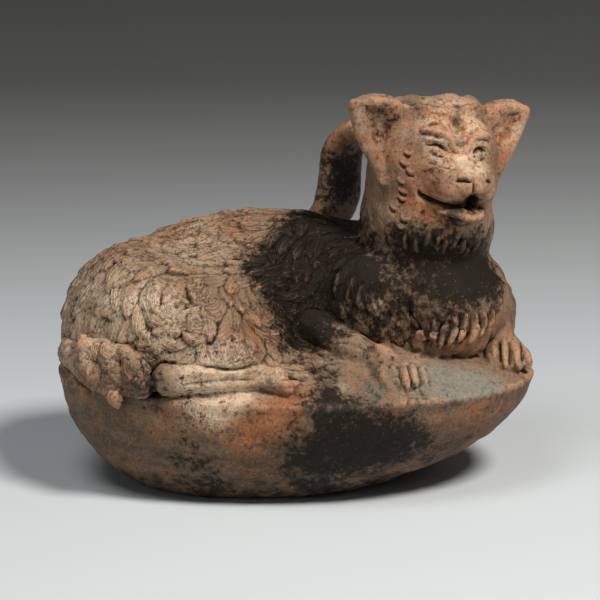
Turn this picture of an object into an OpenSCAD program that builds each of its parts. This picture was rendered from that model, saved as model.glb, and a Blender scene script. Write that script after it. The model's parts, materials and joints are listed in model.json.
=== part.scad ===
// Fired clay vessel in the form of a shaggy dog lying on a boat-shaped tub.
// All sizes in millimetres; the bow and the dog's head are toward +X, the viewer is toward -Y.
// The thin-walled body is one skin of rings, numbered from the foot of the tub to the crown
// of the head; every hollow piece is a range of those rings, so neighbours share their joints.

/* [Tub] */
// Length of the tub at its rim
tub_l = 152; // [144:1:160]
// Width of the tub at its rim
tub_w = 87; // [82:1:92]
// Height of the rim above the ground
rim_h = 36; // [32:1:40]
// Length of the flat foot
foot_l = 72; // [64:1:80]
// Width of the flat foot
foot_w = 50; // [44:1:56]
// How far the foot sits toward the stern
foot_back = 14; // [11:1:17]

/* [Clay] */
// Wall thickness of the hollow body
wall = 4.5; // [3.5:0.5:5.5]

/* [Head] */
// Radius of the pouring hole in the mouth
spout_r = 2.4; // [2:0.2:3]
// Radius of the filling mouth in the crown
fill_r = 9; // [8:0.5:10]
// Height of the lip round the filling mouth
lip_h = 3; // [2:0.5:4]
// How far the ears stand out from the middle of the head
ear_reach = 29; // [26:1:32]

/* [Handle] */
// Width of the handle strap
strap_w = 18; // [15:1:20]
// Thickness of the handle strap
strap_t = 5.4; // [4.5:0.1:7]

/* [Legs] */
// Thickness of the forelegs
leg_t = 10; // [9:0.5:11.5]

/* [Hidden] */
// points round each ring
n = 39;
// ring numbers: rim, end of the level deck, withers, nape and crown
k_rim = 6;
k_deck = 9;
k_withers = 23;
k_nape = 28;
k_crown = 47;
// the far half of the cover starts at this ring point, above the stern
j_stern = 13;
// rings and points that bound the muzzle, and the points that bound the face
k_chin = k_nape + 4;
k_bridge = k_nape + 12;
j_muzzle = 5;
j_cheek = 11;

// the ground plan follows the tub, so the dog grows with it
function grown(x, y, z) = [x * tub_l / 152, y * tub_w / 87, z];
function at(x, y, z) = grown(x, y, z - 36 + rim_h);
function mix(a, b, t) = a + (b - a) * t;
function part(k, a, b) = min(1, max(0, (k - a) / (b - a)));
function flat(a) = [cos(a), sin(a)];
function unit(v) = v / norm(v);
level = [[1, 0, 0], [0, 1, 0], [0, 0, 1]];

// head: where its middle is, and its own axes (forward, the dog's right, up), rolled a little
head = at(43.5, 5, 103.5);
face_az = -65;
head_roll = 7;
fore = [cos(face_az), sin(face_az), 0];
right0 = [sin(face_az), -cos(face_az), 0];
right = cos(head_roll) * right0 + [0, 0, sin(head_roll)];
up = [0, 0, cos(head_roll)] - sin(head_roll) * right0;
axes = [fore, right, up];
function along(d) = let(e = unit(d), s = unit([-e.y, e.x, 0])) [e, s, cross(e, s)];
function on_head(f, r, u) = head + f * fore + r * right + u * up;

// a form is an ellipsoid: middle, radii and axes
rump = [at(-41, 7, 48), grown(34, 34, 29), level];
haunch = [at(-32, -11, 54), grown(38, 27, 25), along([50, -28, -27])];
back = [at(-9, 15, 53), grown(56, 25, 30.5), level];
shoulder_right = [at(24, -2, 58), [16, 15, 20], level];
shoulder_left = [at(57, 13, 50), [13, 14, 19], level];
chest = [at(45, 3, 59), [22.5, 22, 21], level];
neck_form = [at(41, 8, 82), [20.5, 20.5, 42], level];
deck = [at(0, 0, 30), [tub_l / 2 + 4, tub_w / 2 + 2, 18], level];
skull = [on_head(-1.5, 0, 1), [19.5, 20.5, 18], axes];
brow_right = [on_head(9, 6.5, 8), [7, 6.5, 7], axes];
brow_left = [on_head(9, -6.5, 8), [7, 6.5, 7], axes];
cheeks = [on_head(2, 0, -6), [19, 18.5, 15], axes];
snout = [on_head(12, 0, -3.5), [17.5, 12.5, 8.5], axes];
nose = [on_head(25, 0, -3), [6, 6.5, 5], axes];
lip_right = [on_head(20, 5, -6), [8.5, 6, 4], axes];
lip_left = [on_head(20, -5, -6), [8.5, 6, 4], axes];
jaw = [on_head(12, 0, -13), [15.5, 10.5, 5.5], axes];
lower_lip = [on_head(23.5, 0, -13), [5, 7, 2.6], axes];
ruff = [on_head(3, 0, -20), [20, 19.5, 12], axes];
forms = [rump, haunch, back, shoulder_right, shoulder_left, chest, neck_form, deck,
    skull, brow_right, brow_left, cheeks, snout, nose, lip_right, lip_left, jaw, lower_lip, ruff];

// where a ray from o along d leaves a form
function over(v, r) = [v.x / r.x, v.y / r.y, v.z / r.z];
// a form that the ray enters from outside fades toward its edge, so that it has no cliff
function leave(form, o, d) =
    let(p = over(form[2] * (o - form[0]), form[1]), q = over(form[2] * d, form[1]),
        a = q * q, b = p * q, disc = b * b - a * (p * p - 1),
        miss = sqrt(max(0, p * p - b * b / a)), edge = 1 - part(miss, 0.72, 1),
        fade = edge * edge * (3 - 2 * edge))
    disc <= 0 ? 0 : max(0, (sqrt(disc) - b) / a) * mix(1, fade, part(p * p, 1, 1.5));
// all forms together, melted into each other over the given blend
function reach(o, d, blend) =
    blend * ln([for (f = forms) exp(leave(f, o, d) / blend)] * [for (f = forms) 1]);

// plan of the tub: an oval that is rounder at the bow than at the stern
function oval(a, l, w) =
    let(e = 2.25 - 0.2 * cos(a))
    pow(pow(abs(cos(a)) * 2 / l, e) + pow(abs(sin(a)) * 2 / w, e), -1 / e);

// rings above the rim lie in planes: middle point and slope of the plane
hinge = [0.906, -0.423];
hinge_far = 78 * tub_l / 152;
deck_z = rim_h + 8;
withers = at(35.5, 10, 0);
nape = at(42, 7, 84);
crown = on_head(-2, 1, 15);
crown_slope = tan(16) * [fore.x, fore.y] + tan(head_roll) * [right0.x, right0.y];
function tilt(k) = 29 * (1 - pow(1 - part(k, k_deck, k_withers), 1.3));
function fan_xy(k) =
    let(t = part(k, k_deck, k_withers), c = at(-4, 2, 0)) mix([c.x, c.y], [withers.x, withers.y], t);
function fan_z(xy, a) = deck_z + (hinge_far - xy * hinge) * tan(a);
withers_mid = [withers.x, withers.y, fan_z([withers.x, withers.y], 29)];
function middle(k) =
    k <= k_deck ? concat(fan_xy(k_deck) * part(k, k_rim, k_deck), mix(rim_h, deck_z, part(k, k_rim, k_deck)))
    : k <= k_withers ? concat(fan_xy(k), fan_z(fan_xy(k), tilt(k)))
    : k <= k_nape ? mix(withers_mid, nape, part(k, k_withers, k_nape))
    : mix(nape, crown, part(k, k_nape, k_crown));
function slope(k) =
    k <= k_withers ? -tan(tilt(k)) * hinge
    : k <= k_nape ? -tan(mix(29, 25, part(k, k_withers, k_nape))) * hinge
    : mix(-tan(25) * hinge, crown_slope, part(k, k_nape, k_crown));
// points crowd together at the front of the head
function bearing(k, j) =
    let(t = 360 * j / n) mix(-58, face_az, part(k, k_withers, k_nape)) - t
    + 25 * part(k, k_withers, k_nape + 3) * sin(t);
function ray(k, j) = let(f = flat(bearing(k, j))) concat(f, f * slope(k));

// outside of the skin
function tub_mid(s) = -foot_back * (1 - s);
function tub_point(k, j, in) =
    let(a = bearing(k, j), b = 90 * k / k_rim, s = pow(sin(b), 1.6), f = flat(a),
        r = mix(oval(a, foot_l, foot_w), oval(a, tub_l, tub_w), s) - in)
    [tub_mid(s) + r * f.x, r * f.y, in + (rim_h - in) * (1 - cos(b))];
crown_r = fill_r + wall + 2.3;
function outside(k, j) =
    k <= k_rim ? tub_point(k, j, 0)
    : let(o = middle(k), d = ray(k, j))
    k == k_crown ? o + unit(d) * crown_r
    : o + d * reach(o, d, mix(3, 1.6, part(k, k_withers, k_nape)));
// inside of the skin, moved in toward a point below the middle of each ring
function sag(k) = 15 * part(k, k_rim, k_deck) * (1 - part(k, k_withers - 3, k_nape));
function room(k) =
    k < k_withers ? 200
    : k < k_nape ? 60
    : mix(17, fill_r, part(k, k_crown - 5, k_crown));
function inside(k, j) =
    k <= k_rim ? tub_point(k, j, wall)
    : let(o = middle(k) - [0, 0, sag(k)], v = outer[k][j] - o)
    o + unit(v) * min(norm(v) - wall, room(k));

outer = [for (k = [0:k_crown]) [for (j = [0:n - 1]) outside(k, j)]];
inner = [for (k = [0:k_crown]) [for (j = [0:n - 1]) inside(k, j)]];

// piece of the hollow skin: rings k0 to k1, points j0 to j1, less a window [k0, k1, j0, j1]
module skin_piece(k0, k1, j0, j1, window = [0, 0, 0, 0], floor = false) {
    closed = j1 - j0 == n;
    w = closed ? n : j1 - j0 + 1;
    m = (k1 - k0 + 1) * w;
    points = [for (side = [outer, inner], k = [k0:k1], j = [0:w - 1]) side[k][(j0 + j) % n]];
    function id(k, j) = (k - k0) * w + (closed ? (j - j0) % n : j - j0);
    function kept(k, j) =
        k >= k0 && k < k1 && (closed || (j >= j0 && j < j1))
        && !(k >= window[0] && k < window[1] && j >= window[2] && j < window[3]);
    // wall of clay along a joint, from a to b, folded the same way on both sides of it
    function joint(a, b, low) =
        low ? [[b, a, b + m], [a, a + m, b + m]] : [[b, a, a + m], [b, a + m, b + m]];
    faces = [for (k = [k0:k1 - 1], j = [j0:j1 - 1]) if (kept(k, j))
        let(a = id(k, j), b = id(k, j + 1), c = id(k + 1, j + 1), d = id(k + 1, j))
        each concat(
            [[a, b, c], [a, c, d], [a + m, c + m, b + m], [a + m, d + m, c + m]],
            kept(k - 1, j) || (floor && k == k0) ? [] : joint(a, b, true),
            kept(k, j + 1) ? [] : joint(b, c, true),
            kept(k + 1, j) ? [] : joint(c, d, false),
            kept(k, j - 1) ? [] : joint(d, a, false))];
    caps = floor ? [[for (j = [n - 1:-1:0]) j], [for (j = [0:n - 1]) j + m]] : [];
    polyhedron(points, concat(faces, caps));
}

// the whole outside as one solid, cut away from everything that is laid on it
module core() {
    points = [for (k = [0:k_crown], j = [0:n - 1]) outer[k][j]];
    faces = [for (k = [0:k_crown - 1], j = [0:n - 1])
        let(a = k * n + j, b = k * n + (j + 1) % n)
        each [[a, b, b + n], [a, b + n, a + n]]];
    polyhedron(points, concat(faces,
        [[for (j = [n - 1:-1:0]) j], [for (j = [0:n - 1]) k_crown * n + j]]));
}

module ball(p, r) {
    translate(p) sphere(r, $fn = 8);
}

// beads of clay drawn out from point to point
module strand(points, radii) {
    for (i = [0:len(points) - 2]) {
        hull() {
            ball(points[i], radii[i]);
            ball(points[i + 1], radii[i + 1]);
        }
    }
}

// paw of four toes that bend down at the knuckle: wrist, heading, width across the toes
module paw(p, az, w, drop) {
    f = [cos(az), sin(az), 0];
    s = [-sin(az), cos(az), 0];
    for (i = [-1.5:1:1.5]) {
        side = i * w / 3.7;
        out = 10.5 - abs(i) * 1.4;
        hull() {
            ball(p + s * side * 0.6 - f, w / 5);
            ball(p + s * side + f * out * 0.6 + [0, 0, 0.4 - drop / 2], w / 6);
            ball(p + s * side * 1.1 + f * out + [0, 0, -drop], w / 8);
        }
    }
}

module base_tub() {
    color("#8a6650") skin_piece(0, k_rim, 0, n, floor = true);
}

module cover_near() {
    color("#9a6d50") skin_piece(k_rim, k_withers, 0, j_stern);
}

module cover_far() {
    color("#8f6a52") skin_piece(k_rim, k_withers, j_stern, n);
}

module neck() {
    color("#7d6353") skin_piece(k_withers, k_nape, 0, n);
}

// point on the front of the head, found by looking back at it from ahead
function on_front(r, u) = let(o = on_head(0, r, u)) o + fore * reach(o, fore, 1.6);

// brow rolls and the lids of the slanting eyes, which also lie over the top of the muzzle
module eye(side) {
    difference() {
        union() {
            strand([on_front(side * 3, 7), on_front(side * 6, 10.6), on_front(side * 9.5, 12), on_front(side * 13, 10.2)],
                [1, 1.4, 1.3, 0.8]);
            strand([on_front(side * 4.4, 5.8), on_front(side * 7.8, 8.2), on_front(side * 12, 7.8)], [0.7, 1, 0.7]);
            ball(on_front(side * 8.5, 5.4) - fore * 0.9, 1.9);
        }
        muzzle_skin();
    }
}

module face() {
    color("#a5694a") union() {
        skin_piece(k_nape, k_crown, n - j_cheek, n + j_cheek,
            window = [k_chin, k_bridge, n - j_muzzle, n + j_muzzle]);
        eye(1);
        eye(-1);
    }
}

module muzzle_skin() {
    skin_piece(k_chin, k_bridge, n - j_muzzle, n + j_muzzle);
}

module muzzle() {
    color("#b07352") difference() {
        muzzle_skin();
        translate(on_head(0, 0, -9)) multmatrix([
            [right.x, up.x, fore.x, 0], [right.y, up.y, fore.y, 0], [right.z, up.z, fore.z, 0], [0, 0, 0, 1]])
            cylinder(60, r = spout_r, $fn = 24);
    }
}

module head_back() {
    color("#84634f") skin_piece(k_nape, k_crown, j_cheek, n - j_cheek);
}

module on_crown() {
    normal = unit(concat(-crown_slope, 1));
    side = unit(cross([0, 1, 0], normal));
    ahead = cross(normal, side);
    translate(middle(k_crown)) multmatrix([
        [side.x, ahead.x, normal.x, 0], [side.y, ahead.y, normal.y, 0], [side.z, ahead.z, normal.z, 0], [0, 0, 0, 1]])
        children();
}

module filling_rim() {
    color("#93684f") on_crown() difference() {
        cylinder(lip_h, crown_r, crown_r - 3.2, $fn = 42);
        translate([0, 0, -1]) cylinder(lip_h + 2, r = fill_r, $fn = 42);
    }
}

// ear: a rolled edge from the crown out to the tip and back to the cheek, and a thin dish within
module ear(side) {
    tip = on_head(-1, side * ear_reach, 15.5);
    edge = [on_head(1, side * 16, 12), on_head(1, side * 19, 16.5), on_head(0, side * 25, 17), tip,
        on_head(0, side * 27.5, 8.5), on_head(2, side * 23, 0.5), on_head(4, side * 19, -7)];
    difference() {
        union() {
            strand(edge, [2.4, 2.6, 2.5, 2.2, 2.2, 2.2, 2]);
            for (i = [0:len(edge) - 2]) {
                hull() {
                    ball(edge[i], 1.8);
                    ball(edge[i + 1], 1.8);
                    ball(on_head(-3, side * 15, 6), 2);
                }
            }
        }
        core();
        on_crown() cylinder(lip_h + 1, r = crown_r + 0.05, $fn = 42);
    }
}

module ear_right() {
    color("#a86f52") ear(1);
}

module ear_left() {
    color("#a86f52") ear(-1);
}

// point of a smooth curve through the points from the second on
function curve(p, t) =
    let(i = min(floor(t), len(p) - 4), x = t - i, a = p[i], b = p[i + 1], c = p[i + 2], d = p[i + 3])
    (2 * b + (c - a) * x + (2 * a - 5 * b + 4 * c - d) * x * x + (3 * b - a - 3 * c + d) * x * x * x) / 2;

// the strap is wider where it spreads over the back
module strap_end(way, t) {
    root = part(t, len(way) - 5, len(way) - 3);
    w = [0.707, 0.707, 0] * (strap_w - strap_t) / 2 * (1 + 0.3 * root);
    ball(curve(way, t) - w, strap_t / 2);
    ball(curve(way, t) + w, strap_t / 2);
}

module handle() {
    way = [at(40, 11, 107), at(35, 15, 108.5), at(27, 22, 109.5), at(19.5, 29, 107), at(14.8, 33, 100), at(13.8, 34, 91),
        at(13.2, 33.5, 83), at(9, 30, 77), at(2, 25, 72)];
    steps = 2 * (len(way) - 3);
    color("#8b654e") difference() {
        for (i = [0:steps - 1]) {
            hull() {
                strap_end(way, i / 2);
                strap_end(way, (i + 1) / 2);
            }
        }
        core();
    }
}

module foreleg_right() {
    color("#a3704f") difference() {
        union() {
            strand([at(4, -8, 52), at(18, -18, 47), at(29, -24.5, 43)], [leg_t * 0.6, leg_t * 0.5, leg_t * 0.42]);
            paw(at(29, -24.5, 43), -52, 15, 4);
        }
        core();
    }
}

module foreleg_left() {
    color("#a3704f") difference() {
        union() {
            strand([at(59, 10, 56), at(64, 2, 48), at(65.5, -3, 44)], [leg_t * 0.6, leg_t * 0.5, leg_t * 0.42]);
            paw(at(65.5, -3, 44), -76, 13, 4);
        }
        core();
    }
}

module hind_leg_right() {
    color("#94694f") difference() {
        union() {
            strand([at(-40, -37.5, 43), at(-26, -37.5, 44), at(-12, -36, 43.5)], [5, 5, 4.8]);
            paw(at(-11, -35.5, 43.5), 3, 12, 3);
        }
        core();
        tail_form();
    }
}

// the tail comes round the stern to the near side and ends in a tuft of hooked locks
module hooked(x, y, z, size) {
    p = at(x, y, z);
    out = unit([x / 2, y, 0]);
    ahead = [-out.y, out.x, 0];
    strand([p + [0, 0, size * 0.4] - ahead * size * 0.6, p + out * 0.9 + ahead * size * 0.3,
        p + ahead * size * 0.5 - [0, 0, size * 0.8]], [1.9, 2.3, 1.2]);
}

module tail_form() {
    strand([at(-70, 2, 44), at(-70.5, -10, 43), at(-64, -23, 43)], [3.6, 4.6, 5]);
    hull() {
        ball(at(-68, -17, 44), 4);
        ball(at(-62, -24, 48.5), 3.4);
        ball(at(-62, -26, 39), 3.4);
        ball(at(-51, -33, 47), 3);
        ball(at(-46.5, -36.5, 40), 3);
    }
    for (i = [0:2]) {
        hooked(-66 + i * 7.5, -21.5 - i * 6.5, 49 - i * 0.5, 5);
        hooked(-63.5 + i * 7, -27 - i * 5, 42.5, 5);
    }
    hooked(-57, -34, 37, 4);
}

module tail() {
    color("#7b5f4d") difference() {
        tail_form();
        core();
    }
}

// pendant locks round the foot of the chest
function on_chest(a, z) =
    let(o = [chest[0].x, chest[0].y, chest[0].z + z], d = concat(flat(a), 0)) o + d * leave(chest, o, d);

module chest_locks() {
    color("#6f5a4c") difference() {
        union() {
            for (i = [0:5]) {
                a = -45 - i * 9.5;
                low = 2 * (i % 2) + 0.7 * abs(i - 3);
                strand([on_chest(a, -5 - low), on_chest(a - 1, -10 - low), on_chest(a + 1, -15 + low)], [1.6, 2.4, 1.4]);
            }
            strand([on_chest(-108, -7), on_chest(-112, -11), on_chest(-105, -14.5), on_chest(-96, -13.5)], [1.3, 2, 2, 1.4]);
            strand([on_chest(-64, -15), on_chest(-69, -17.5), on_chest(-75, -16)], [1.3, 1.7, 1.3]);
        }
        core();
    }
}

base_tub();
cover_near();
cover_far();
neck();
face();
muzzle();
head_back();
filling_rim();
ear_right();
ear_left();
handle();
foreleg_right();
foreleg_left();
hind_leg_right();
tail();
chest_locks();
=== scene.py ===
import bpy
import bmesh
import json
import math
import numpy as np
from mathutils import Matrix, Vector
from mathutils.bvhtree import BVHTree


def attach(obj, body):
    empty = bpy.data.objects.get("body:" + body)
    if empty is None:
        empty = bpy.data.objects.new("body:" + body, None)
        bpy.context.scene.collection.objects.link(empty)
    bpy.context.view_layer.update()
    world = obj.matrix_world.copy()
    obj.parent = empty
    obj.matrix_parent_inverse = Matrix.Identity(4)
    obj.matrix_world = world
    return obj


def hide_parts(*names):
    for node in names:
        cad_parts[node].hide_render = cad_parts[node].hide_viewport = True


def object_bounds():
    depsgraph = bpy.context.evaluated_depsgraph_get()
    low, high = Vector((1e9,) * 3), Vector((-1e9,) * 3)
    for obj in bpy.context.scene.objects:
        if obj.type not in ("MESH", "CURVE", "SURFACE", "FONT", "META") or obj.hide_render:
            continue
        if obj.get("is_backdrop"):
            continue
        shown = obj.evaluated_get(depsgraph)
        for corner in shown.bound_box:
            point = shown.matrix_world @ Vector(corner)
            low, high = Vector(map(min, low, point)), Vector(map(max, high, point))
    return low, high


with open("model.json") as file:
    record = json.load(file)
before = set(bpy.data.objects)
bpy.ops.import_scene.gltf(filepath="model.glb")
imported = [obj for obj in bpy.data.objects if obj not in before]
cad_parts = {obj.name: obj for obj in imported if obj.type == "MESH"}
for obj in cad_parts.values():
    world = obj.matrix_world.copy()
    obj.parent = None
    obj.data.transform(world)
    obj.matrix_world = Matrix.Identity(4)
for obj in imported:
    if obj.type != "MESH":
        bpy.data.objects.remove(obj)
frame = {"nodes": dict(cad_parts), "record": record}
cad_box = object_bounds()
nodes = frame["nodes"]
mounts = {m["name"]: m for m in frame["record"]["mounts"]}
scene = bpy.context.scene
mm = 0.001

# Camera
# The photograph looks along +Y from a little above the back of the dog, from about a metre
# away, so the vessel shows with hardly any perspective.
camera_turn, camera_rise = math.radians(0.0), math.radians(15.0)
camera_away = 1.05
frame_width = 190.5 * mm
looked_at = Vector((0.9, 0.0, 58.3)) * mm
back = Vector((
    math.sin(camera_turn) * math.cos(camera_rise),
    -math.cos(camera_turn) * math.cos(camera_rise),
    math.sin(camera_rise)))
camera = bpy.data.objects.new("camera", bpy.data.cameras.new("camera"))
scene.collection.objects.link(camera)
scene.camera = camera
camera.data.sensor_width = 36.0
camera.data.lens = 36.0 * camera_away / frame_width
camera.location = looked_at + back * camera_away
camera.rotation_euler = back.to_track_quat("Z", "Y").to_euler()
camera.data.clip_start, camera.data.clip_end = 0.01, 20.0
scene.view_settings.view_transform = "Standard"


# Floor
# A pale studio table whose colour is painted darker toward the back: painted light falloff,
# standing for the paper sweep behind the vessel going grey in shade.
def node(tree, kind, **inputs):
    made = tree.nodes.new(kind)
    for name, value in inputs.items():
        key = int(name[1:]) if name[0] == "i" and name[1:].isdigit() else name.replace("_", " ")
        if isinstance(value, bpy.types.NodeSocket):
            tree.links.new(value, made.inputs[key])
        else:
            made.inputs[key].default_value = value
    return made


def new_material(name):
    material = bpy.data.materials.new(name)
    material.use_nodes = True
    return material, material.node_tree, material.node_tree.nodes["Principled BSDF"]


def ramp(tree, factor, stops):
    made = node(tree, "ShaderNodeValToRGB", Fac=factor)
    while len(made.color_ramp.elements) < len(stops):
        made.color_ramp.elements.new(0.5)
    for element, (position, colour) in zip(made.color_ramp.elements, stops):
        element.position = position
        element.color = (*colour, 1.0)
    return made.outputs["Color"]


table_half = 3.0
bm = bmesh.new()
bmesh.ops.create_grid(bm, x_segments=2, y_segments=2, size=table_half)
table = bpy.data.objects.new("table", bpy.data.meshes.new("table"))
bm.to_mesh(table.data)
bm.free()
scene.collection.objects.link(table)
material, tree, shader = new_material("table_paper_painted_falloff")
place = node(tree, "ShaderNodeTexCoord").outputs["Object"]
depth = node(tree, "ShaderNodeSeparateXYZ", Vector=place).outputs["Y"]
depth = node(tree, "ShaderNodeMapRange", Value=depth, From_Min=-0.25, From_Max=0.65).outputs["Result"]
# painted light falloff: pale in front, dark grey toward the back
paper_painted_falloff = ramp(tree, depth, [
    (0.0, (0.62, 0.65, 0.66)), (0.33, (0.62, 0.65, 0.66)), (0.476, (0.53, 0.56, 0.58)),
    (0.611, (0.42, 0.44, 0.44)), (0.744, (0.30, 0.31, 0.31)), (0.871, (0.22, 0.224, 0.216)),
    (1.0, (0.15, 0.15, 0.145))])
tree.links.new(paper_painted_falloff, shader.inputs["Base Color"])
shader.inputs["Roughness"].default_value = 0.85
table.data.materials.append(material)
table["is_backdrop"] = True

# Light
# One soft key from the upper right, a weak fill from the left and a dim white room.
world = bpy.data.worlds.new("room")
scene.world = world
world.use_nodes = True
world.node_tree.nodes["Background"].inputs["Color"].default_value = (0.93, 0.96, 1.0, 1.0)
world.node_tree.nodes["Background"].inputs["Strength"].default_value = 0.05
for name, at, size, power, tint in [
        ("key", (0.46, -0.52, 0.94), 0.30, 13.5, (1.0, 0.97, 0.93)),
        ("fill", (-0.7, -0.9, 0.45), 0.6, 0.8, (0.92, 0.96, 1.0)),
        ("top", (-0.32, -0.42, 1.05), 0.5, 4.0, (0.97, 0.98, 1.0))]:
    lamp = bpy.data.lights.new(name, "AREA")
    lamp.shape, lamp.size, lamp.energy, lamp.color = "DISK", size, power, tint
    light = bpy.data.objects.new(name, lamp)
    light.location = at
    light.rotation_euler = (Vector(at) - Vector((0.0, 0.0, 0.05))).to_track_quat("Z", "Y").to_euler()
    scene.collection.objects.link(light)

# Clay body
# Tub, trunk, neck and head are one hollow skin of moulded clay. It is worked up here as one
# smooth mass, the laid-on pieces are pressed to it, and it is parted at its joints at the end.
skin_nodes = ["base_tub", "cover_near", "cover_far", "neck", "face", "muzzle", "head_back"]
laid_nodes = ["filling_rim", "ear_right", "ear_left", "handle", "foreleg_right", "foreleg_left",
              "hind_leg_right", "tail", "chest_locks"]
coarse = 1.2 * mm
fine = 0.54 * mm
laid_fine = 0.5 * mm
pressed_out = 0.3 * mm
plug_margin = 4 * mm
plug_deep = 6 * mm


def axis_frame(mount):
    z = Vector(mounts[mount]["axis"])
    x = Vector((0.0, 1.0, 0.0)).cross(z).normalized()
    turn = Matrix((x, z.cross(x), z)).transposed().to_4x4()
    return Matrix.Translation(Vector(mounts[mount]["pos_m"])) @ turn


def remeshed(bm, voxel):
    me = bpy.data.meshes.new("work")
    bm.to_mesh(me)
    bm.free()
    work = bpy.data.objects.new("work", me)
    scene.collection.objects.link(work)
    remesh = work.modifiers.new("remesh", "REMESH")
    remesh.mode, remesh.voxel_size = "VOXEL", voxel
    evaluated = work.evaluated_get(bpy.context.evaluated_depsgraph_get())
    made = bpy.data.meshes.new_from_object(evaluated)
    bpy.data.objects.remove(work)
    bpy.data.meshes.remove(me)
    return made


def points_of(me):
    co = np.empty(len(me.vertices) * 3)
    me.vertices.foreach_get("co", co)
    return co.reshape(-1, 3)


def put_points(me, co):
    me.vertices.foreach_set("co", co.ravel())
    me.update()


def normals_of(me):
    normal = np.empty(len(me.vertices) * 3)
    me.vertices.foreach_get("normal", normal)
    return normal.reshape(-1, 3)


def neighbours(me):
    ends = np.empty(len(me.edges) * 2, np.int64)
    me.edges.foreach_get("vertices", ends)
    ends = ends.reshape(-1, 2)
    ends = np.vstack([ends, ends[:, ::-1]])
    ends = ends[np.argsort(ends[:, 0], kind="stable")]
    count = np.bincount(ends[:, 0], minlength=len(me.vertices))
    return ends[:, 1], np.r_[0, np.cumsum(count)[:-1]], count


def soft(value, low, high):
    t = np.clip((value - low) / (high - low), 0, 1)
    return t * t * (3 - 2 * t)


def relax(values, ring, rounds, strength=0.5):
    other, start, count = ring
    per = count.reshape(-1, *[1] * (values.ndim - 1))
    for _ in range(rounds):
        mean = np.add.reduceat(values[other], start, axis=0) / per
        values = values + (mean - values) * strength
    return values


# the two bores are stopped while the mass is closed, and cut again below
bm = bmesh.new()
for name in skin_nodes:
    bm.from_mesh(nodes[name].data)
lip_half = mounts["filling_mouth"]["dims"]["length_mm"] / 2 * mm
fill_r = mounts["filling_mouth"]["dims"]["r_mm"] * mm
spout_r = mounts["pouring_spout"]["dims"]["r_mm"] * mm
spout_half = mounts["pouring_spout"]["dims"]["length_mm"] / 2 * mm
mouth_frame, spout_frame = axis_frame("filling_mouth"), axis_frame("pouring_spout")
bmesh.ops.create_cone(
    bm, cap_ends=True, segments=48, depth=plug_deep,
    radius1=fill_r + plug_margin, radius2=fill_r + plug_margin,
    matrix=mouth_frame @ Matrix.Translation((0, 0, -lip_half - plug_deep / 2)))
bmesh.ops.create_cone(
    bm, cap_ends=True, segments=24, depth=2 * spout_half - mm,
    radius1=spout_r + mm, radius2=spout_r + mm, matrix=spout_frame)
skin = remeshed(bm, coarse)
ring = neighbours(skin)
crisp = relax(points_of(skin), ring, 2)
round_off = relax(crisp, ring, 12)
on_head = soft(crisp[:, 2:], 82 * mm, 92 * mm)
put_points(skin, round_off + (crisp - round_off) * on_head)
bm = bmesh.new()
bm.from_mesh(skin)
bmesh.ops.subdivide_edges(bm, edges=bm.edges, cuts=1, use_grid_fill=True, smooth=0.0)
bm.to_mesh(skin)
put_points(skin, relax(points_of(skin), neighbours(skin), 2))
bm.free()
bm = bmesh.new()
bm.from_mesh(skin)
for name in laid_nodes[1:]:
    part = bmesh.new()
    part.from_mesh(nodes[name].data)
    piece = remeshed(part, laid_fine)
    rounds = {"chest_locks": 2, "tail": 22, "handle": 12}.get(name, 4)
    put_points(piece, relax(points_of(piece), neighbours(piece), rounds))
    put_points(piece, points_of(piece) + normals_of(piece) * pressed_out)
    bm.from_mesh(piece)
    bpy.data.meshes.remove(piece)
clay = remeshed(bm, fine)
put_points(clay, relax(points_of(clay), neighbours(clay), 3))

# Coat
# The coat is tooled in short locks that lie over one another like tiles and are combed in
# fine lines. They run back and down from the spine and turn into hooks on the haunch.
whole = bpy.data.objects.new("whole", clay)
scene.collection.objects.link(whole)
bpy.context.view_layer.update()
surface = BVHTree.FromObject(whole, bpy.context.evaluated_depsgraph_get())
ring = neighbours(clay)
co, up = points_of(clay), normals_of(clay)
base, base_up = co.copy(), relax(up, ring, 12)
base_up /= np.linalg.norm(base_up, axis=1)[:, None]

# each point of clay belongs to the solid nearest to it, and the joints are smoothed
owners = [n for n in skin_nodes + laid_nodes if n != "filling_rim"]
bm, owner_of = bmesh.new(), []
for k, name in enumerate(owners):
    bm.from_mesh(nodes[name].data)
    owner_of += [k] * (len(bm.faces) - len(owner_of))
solids = BVHTree.FromBMesh(bm)
bm.free()
share = np.zeros((len(co), len(owners)), np.float32)
share[np.arange(len(co)), [owner_of[solids.find_nearest(p)[2]] for p in co.tolist()]] = 1
share = relax(share, ring, 6)
mine = share.argmax(1)
soft_share = relax(share, ring, 10)
lift, comb = np.zeros(len(co)), np.zeros(len(co))
dice = np.random.default_rng(7)
cell = 2.5 * mm


def cells(points, size=cell):
    place = np.floor(points / size).astype(np.int64) + 128
    return (place[:, 0] * 512 + place[:, 1]) * 512 + place[:, 2]


code = cells(co)
order = np.argsort(code, kind="stable")
found, first = np.unique(code[order], return_index=True)
shelf = dict(zip(found.tolist(), np.split(order, first[1:])))
beside = [(x * 512 + y) * 512 + z for x in (-1, 0, 1) for y in (-1, 0, 1) for z in (-1, 0, 1)]
beside = np.array(beside)


def near(path):
    codes = np.unique(cells(path)[:, None] + beside)
    hit = [shelf[c] for c in codes.tolist() if c in shelf]
    return np.concatenate(hit) if hit else np.empty(0, np.int64)


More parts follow.
